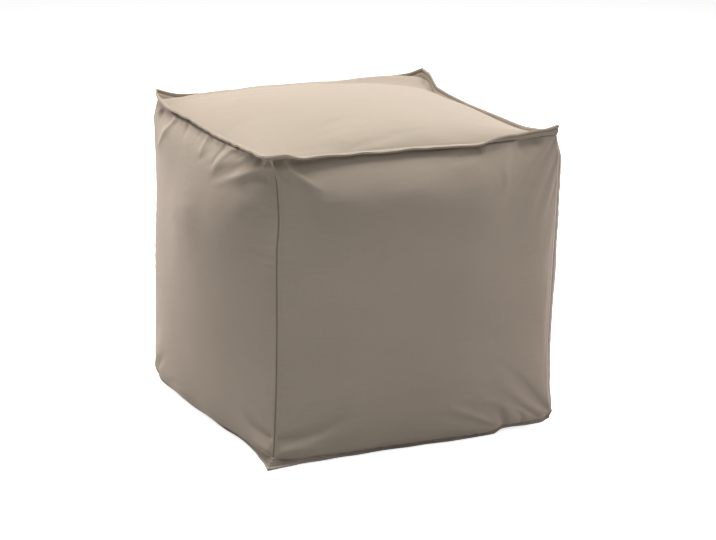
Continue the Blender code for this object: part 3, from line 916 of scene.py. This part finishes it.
# The tip of the flange at each corner, from the corner of the cover, in mm.
EARS = {
    ("front", "left", "top"): (-14, -2, 5),
    ("front", "right", "top"): (1.5, -2.5, 14.5),
    ("back", "left", "top"): (-1, 3, 14),
    ("back", "right", "top"): (3, 3, 17),
    ("front", "left", "base"): (-14, -13, -12),
    ("front", "right", "base"): (-4, 3, -11),
    ("back", "left", "base"): (2, -2, -6),
    ("back", "right", "base"): (10, 10, -10),
}

# Half of a flange's cross-section: share of the width, height above the middle
# in mm. The stitching draws the two layers in, and they part at the free edge.
FREE_EDGE = (
    *((0.75, 1.05), (0.83, 1.50), (0.92, 1.60), (0.98, 1.30)),
    *((1.00, 0.85), (0.985, 0.36), (0.93, 0.06)),
)
SEWN_LINE = ((0.57, 0.95), (0.63, 0.55), (0.66, 0.45), (0.69, 0.55))
FLANGE_SECTIONS = {
    "top": ((0.00, 0.60), (0.15, 1.15), (0.34, 1.45), (0.48, 1.35)) + SEWN_LINE + FREE_EDGE,
    "base": (
        ((0.00, 0.60), (0.08, 1.20), (0.14, 1.25), (0.19, 0.75), (0.22, 0.45), (0.25, 0.75))
        + ((0.30, 1.25), (0.36, 1.25), (0.41, 0.75), (0.44, 0.45), (0.47, 0.75), (0.51, 1.20))
        + SEWN_LINE
        + FREE_EDGE
    ),
}
STITCH_SHARES = {"top": (0.66,), "base": (0.22, 0.44, 0.66)}  # of the width, where it is sewn through
# Painted shade by the flanges' stitched lines, in their grooves; at the base it is wide enough to
# darken the flaps by the corners, and it fades out where a base flange is narrower than PLAIN_WIDTH.
LINE_SHADES = {"top": 1.3, "base": 3.6}  # mm, how wide the shade by a stitched line is
PLAIN_WIDTH = 14  # mm: where a base flange is narrower, its sewn lines fade out
PLAIN_FADE = 2  # mm that it is narrower for each mm that they seem further off
# Painted shadow along the base flanges' free edge, where they meet the floor: darkest at the edge and
# fading inward.
FLOOR_LINE_SHADOW = 0.3  # mm: the base flanges' free edge is as dark as this far from a stitched line
FLOOR_LINE_SHADOW_FADE = 1.8  # mm further off for each mm in from the free edge
FLANGE_CLOTH = (0.014, 0.03)  # in the UV map, in metres: across a strip, and between its faces
STITCH_PITCH = 4.2  # mm from one stitch to the next
STITCH_SHAPE = (2.9, 0.30)  # mm: length of a stitch and radius of its thread
STITCH_LIFT = (0.9, 1.5)  # radii that its middle stands proud, and that its ends lie lower
STITCH_THIN = 0.4  # share of the radius that is lost at its ends


def unit(vectors):
    """Each vector at length 1."""
    return vectors / np.linalg.norm(vectors, axis=-1, keepdims=True)


def ear_fold(name):
    """At a corner: the ear's tip, and the offset at which the two strips' surfaces
    meet: (a + b) / (1 + a.b) for their unit normals a and b."""
    depth_side, width_side, level = name
    start = corner(*name)
    tip = start + np.array(EARS[name]) * MM
    normals = []
    for side in (depth_side, width_side):
        end = seam_ends(level, side).index(name)
        share = np.array([0.0, EAR_SHARE]) if end == 0 else np.array([1 - EAR_SHARE, 1.0])
        tangent = unit(np.diff(level_seam(level, side, share), axis=0)[0])
        normal = unit(np.cross(tangent, tip - start))
        lean = math.radians(LEVEL_SEAMS[(level, side)][-end][LEAN])
        upper = math.cos(lean) * np.array([0, 0, 1.0]) - math.sin(lean) * outward(side)
        normals.append(normal * np.sign(normal @ upper))
    return tip, (normals[0] + normals[1]) / (1 + normals[0] @ normals[1])


def flange_lines(level, side, share):
    """A flange at each share of its seam: its root, its free edge and the direction
    its upper face looks. The edge stands off the seam at the table's lean and width
    and ripples, and runs out to the ear's tip at both ends."""
    rows = LEVEL_SEAMS[(level, side)]
    seam = level_seam(level, side, share)
    along = (share - 0.5) * SIDE / MM
    lean = np.radians(read_rows(along, rows, LEAN))[:, None]
    width = read_rows(along, rows, WIDTH)[:, None] * MM
    away = np.cos(lean) * outward(side) + np.sin(lean) * np.array([0, 0, 1.0])
    upper = np.cos(lean) * np.array([0, 0, 1.0]) - np.sin(lean) * outward(side)
    ends = [(0, seam_ends(level, side)[0]), (1, seam_ends(level, side)[1])]
    seed = RIPPLE_SEEDS[level] + len(side)
    height, shortest, longest = FLANGE_RIPPLE
    ripple = waves(along, 0 * along, height * MM, shortest, longest, seed)[:, None]
    to_corner = np.minimum(share, 1 - share)[:, None] * SIDE
    calm = s_curve(np.clip(to_corner / RIPPLE_CLEAR, 0, 1))
    edge = seam + away * width + upper * ripple * calm
    root = seam + away * FLANGE_ROOT
    for end, name in ends:
        from_end = np.abs(share - end)[:, None] * SIDE
        fade = s_curve(np.clip(1 - from_end / EAR_REACH, 0, 1))
        tip, _ = ear_fold(name)
        start = corner(*name)
        edge = edge + fade * (tip - edge[-end])
        root = root + fade * (start + FLANGE_ROOT * unit(tip - start) - root[-end])
    tangent = unit(np.gradient((root + edge) / 2, axis=0))
    normal = unit(np.cross(tangent, edge - root))
    normal = normal * np.sign((normal * upper).sum(axis=1, keepdims=True))
    for end, name in ends:
        from_end = np.abs(share - end)[:, None] * SIDE
        fade = s_curve(np.clip(1 - from_end / FOLD_REACH, 0, 1))
        normal = normal + fade * (ear_fold(name)[1] - normal)
    edge[:, 2] = np.maximum(edge[:, 2], FLANGE_LOWEST)
    root[:, 2] = np.maximum(root[:, 2], FLANGE_LOWEST)
    return root, edge, normal


def flange(level, side):
    """A flange: its cross-section, a closed loop of upper and mirrored lower face,
    carried along its seam and closed at both ends. Returns the strip, and each line
    that is sewn through it with the way the cloth faces there."""
    share = crowded_shares(FLANGE_STATIONS - 1, STATION_CROWD)
    root, edge, normal = flange_lines(level, side, share)
    half = np.array(FLANGE_SECTIONS[level])
    loop = np.concatenate([half, half[::-1] * [1, -1]])
    across, lift = loop[:, 0], loop[:, 1] * MM
    curl = FLANGE_CURL * MM * (across**2 - across)
    points = root[:, None] + across[None, :, None] * (edge - root)[:, None]
    points = points + (lift + curl)[None, :, None] * normal[:, None]
    points[..., 2] = np.maximum(points[..., 2], FLOOR_GAP)
    count = len(loop)
    station, place = np.meshgrid(np.arange(FLANGE_STATIONS - 1), np.arange(count), indexing="ij")
    here = (station * count + place).ravel()
    beside = (station * count + (place + 1) % count).ravel()
    quads = np.stack([here, beside, beside + count, here + count], 1)
    last = (FLANGE_STATIONS - 1) * count
    caps = [list(range(count))[::-1], [last + k for k in range(count)]]

    # It faces outward if a quad of the upper face looks the way its normal does.
    a, b, c = (points.reshape(-1, 3)[k] for k in quads[FLANGE_STATIONS // 2 * count + 2][:3])
    if np.cross(b - a, c - b) @ normal[FLANGE_STATIONS // 2] < 0:
        quads = quads[:, ::-1]
        caps = [cap[::-1] for cap in caps]

    mesh = bpy.data.meshes.new(f"{level}_flange_{side}_canvas")
    mesh.from_pydata(points.reshape(-1, 3).tolist(), [], quads.tolist() + caps)
    cloth_across, other_face = FLANGE_CLOTH
    along = (share[:, None] * SIDE + 0 * across).ravel() / CLOTH_WIDTH
    reach = across[None, :] * cloth_across + other_face * (lift > 0) + 0 * share[:, None]
    flat = np.stack([along, reach.ravel() / CLOTH_WIDTH], 1)
    corners = np.empty(len(mesh.loops), np.int32)
    mesh.loops.foreach_get("vertex_index", corners)
    mesh.uv_layers.new(name="cloth").data.foreach_set("uv", flat[corners].astype(np.float32).ravel())
    width = np.linalg.norm(edge - root, axis=1)[:, None] / MM
    to_end = np.minimum(share, 1 - share)[:, None] * SIDE / MM + 0 * across
    # from_line carries painted shade: by the stitched lines, on the lower face near the ears at both
    # ends, and on the base strips a painted shadow along the free edge by the floor.
    from_line = np.min([np.abs(across - line) * width for line in STITCH_SHARES[level]], axis=0)
    from_line = np.minimum(from_line, np.where(lift < 0, to_end, FAR))
    if level == "base":
        from_line = from_line + np.clip(PLAIN_WIDTH - width, 0, None) / PLAIN_FADE
        from_line = np.minimum(from_line, FLOOR_LINE_SHADOW + (1 - across) * width * FLOOR_LINE_SHADOW_FADE)
    set_point_values(mesh, "from_line", from_line.ravel())
    mesh.update()
    mesh.shade_smooth()
    strip = put_in_scene(mesh.name, mesh)
    sewn = [int(np.argmin(np.abs(half[:, 0] - line))) for line in STITCH_SHARES[level]]
    sewn = [(k, 1) for k in sewn] + [(count - 1 - k, -1) for k in sewn]
    return strip, [(points[:, k], normal * sign) for k, sign in sewn]


def stitch_rows(name, rows):
    """Rows of stitches along (line, normals) pairs: each is a short round thread, its
    middle proud of the cloth and its ends drawn in and thinner, both as t^4."""
    length, radius = (size * MM for size in STITCH_SHAPE)
    proud, drawn_in = STITCH_LIFT
    t = np.linspace(-1, 1, 5)
    turn = np.linspace(0, 2 * np.pi, 6, endpoint=False)
    points = []
    for line, normals in rows:
        walk = np.concatenate([[0], np.cumsum(np.linalg.norm(np.diff(line, axis=0), axis=1))])
        centre = np.arange(STITCH_PITCH * MM, walk[-1] - STITCH_PITCH * MM, STITCH_PITCH * MM)
        at = centre[:, None] + t * length / 2
        place = np.stack([np.interp(at, walk, line[:, k]) for k in range(3)], -1)
        up = unit(np.stack([np.interp(at, walk, normals[:, k]) for k in range(3)], -1))
        side = unit(np.cross(up, np.gradient(place, axis=1)))
        lift = radius * (proud - drawn_in * t**4)
        ring = np.cos(turn)[:, None] * side[:, :, None] + np.sin(turn)[:, None] * up[:, :, None]
        thick = (radius * (1 - STITCH_THIN * t**4))[None, :, None, None]
        points.append(place[:, :, None] + lift[None, :, None, None] * up[:, :, None] + thick * ring)
    points = np.concatenate(points)
    stitches, rings, sides, _ = points.shape
    lines = np.meshgrid(np.arange(rings - 1), np.arange(sides), indexing="ij")
    ring, place = (grid.ravel() for grid in lines)
    here, beside = ring * sides + place, ring * sides + (place + 1) % sides
    quads = np.stack([here, here + sides, beside + sides, beside], 1)
    starts = np.arange(stitches)[:, None, None] * rings * sides
    caps = np.stack([np.arange(sides), (rings - 1) * sides + np.arange(sides)[::-1]])
    mesh = bpy.data.meshes.new(name)
    faces = (quads + starts).reshape(-1, 4).tolist() + (caps + starts).reshape(-1, sides).tolist()
    mesh.from_pydata(points.reshape(-1, 3).tolist(), [], faces)
    mesh.shade_smooth()
    return put_in_scene(name, mesh)


THREAD_COLOUR = (0.235, 0.195, 0.150, 1)
thread, thread_shader = new_paint("cotton_thread")
set_sockets(thread_shader, {"Base Color": THREAD_COLOUR, "Roughness": 0.7, "Sheen Weight": 0.2})

for level, shade_width in LINE_SHADES.items():
    flange_canvas = canvas(f"{level}_flange_canvas", "from_line", shade_width)
    for side in ("front", "right", "back", "left"):
        strip, rows = flange(level, side)
        strip.data.materials.append(flange_canvas)
        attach(strip, "root")
        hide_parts(f"{level}_flange_{side}")
        stitches = stitch_rows(f"{level}_flange_{side}_stitches", rows)
        stitches.data.materials.append(thread)
        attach(stitches, "root")


# ---------------------------------------------------------------------------
# Upright stitching
# The upright seams are turned towards the front and back panels and sewn down
# there, with one row of stitches beside each seam.
# ---------------------------------------------------------------------------
STITCHED_COLUMN = 4  # of the panel's cells in from the seam
STITCH_CLEAR = 3  # cells left free at both ends
rows = []
for panel in ("front", "back"):
    grid = sewn_sides[panel]
    for column in (STITCHED_COLUMN, PANEL_CELLS - STITCHED_COLUMN):
        before, line, after = grid[column - 1 : column + 2, STITCH_CLEAR:-STITCH_CLEAR]
        normals = unit(np.cross(after - before, np.gradient(line, axis=0)))
        rows.append((line, normals * np.sign(normals @ outward(panel))[:, None]))
upright_stitches = stitch_rows("upright_stitches", rows)
upright_stitches.data.materials.append(thread)
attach(upright_stitches, "root")


# ---------------------------------------------------------------------------
# Floor and light
# A plain white floor and four soft lights: a broad one overhead, low ones at the
# back and at the right that graze the sides, and a weak one in front.
# ---------------------------------------------------------------------------
FLOOR_REACH = 9  # metres from the middle to each edge
LIGHT_CENTRE = Vector((0, 0, 0.3))  # what the lights stand round and face


def level_plane(name, height, colour, glow):
    """A plain matt square at a height; glow is the light it gives off."""
    mesh = bpy.data.meshes.new(name)
    signs = ((-1, -1), (1, -1), (1, 1), (-1, 1))
    corners = [(x * FLOOR_REACH, y * FLOOR_REACH, height) for x, y in signs]
    mesh.from_pydata(corners, [], [(0, 1, 2, 3)])
    paint, shader = new_paint(name)
    set_sockets(shader, {"Base Color": colour, "Roughness": 1.0, "Specular IOR Level": 0.0})
    set_sockets(shader, {"Emission Color": (1, 1, 1, 1), "Emission Strength": glow})
    mesh.materials.append(paint)
    plane = put_in_scene(name, mesh)
    return plane


# The white floor that is seen, and under it a grey one that only throws light up.
floor = level_plane("floor", -0.0004, (0.9, 0.9, 0.9, 1), 0.8)
floor.visible_diffuse = False
floor.visible_shadow = False
floor_bounce = level_plane("floor_bounce", -0.0010, (0.42, 0.42, 0.42, 1), 0.0)
floor_bounce.visible_camera = False


def soft_light(name, turn, tilt, distance, size, power, colour):
    """A square area light that stands off the lights' centre at a turn (0 in front,
    90 at the right) and a tilt, in degrees, and faces it."""
    light = bpy.data.lights.new(name, "AREA")
    light.size = size
    light.energy = power
    light.color = colour
    lamp = put_in_scene(name, light)
    turn, tilt = math.radians(turn), math.radians(tilt)
    aside = math.cos(tilt)
    away = Vector((math.sin(turn) * aside, -math.cos(turn) * aside, math.sin(tilt)))
    lamp.location = away * distance + LIGHT_CENTRE
    lamp.rotation_euler = away.to_track_quat("Z", "Y").to_euler()


soft_light("overhead_light", 270, 84, 2.3, 1.8, 104, (0.97, 0.98, 0.99))
soft_light("back_light", 198, 4, 2.6, 2.2, 138, (1.0, 0.87, 0.80))
soft_light("right_light", 90, 4, 2.6, 2.2, 140, (1.0, 0.92, 0.95))
soft_light("front_light", 340, 30, 2.6, 1.8, 22, (0.92, 0.95, 1.0))
studio = bpy.data.worlds.new("studio")
studio.use_nodes = True
set_sockets(studio.node_tree.nodes["Background"], {"Color": (1, 1, 1, 1), "Strength": 0.02})
bpy.context.scene.world = studio
bpy.context.scene.view_settings.view_transform = "Standard"
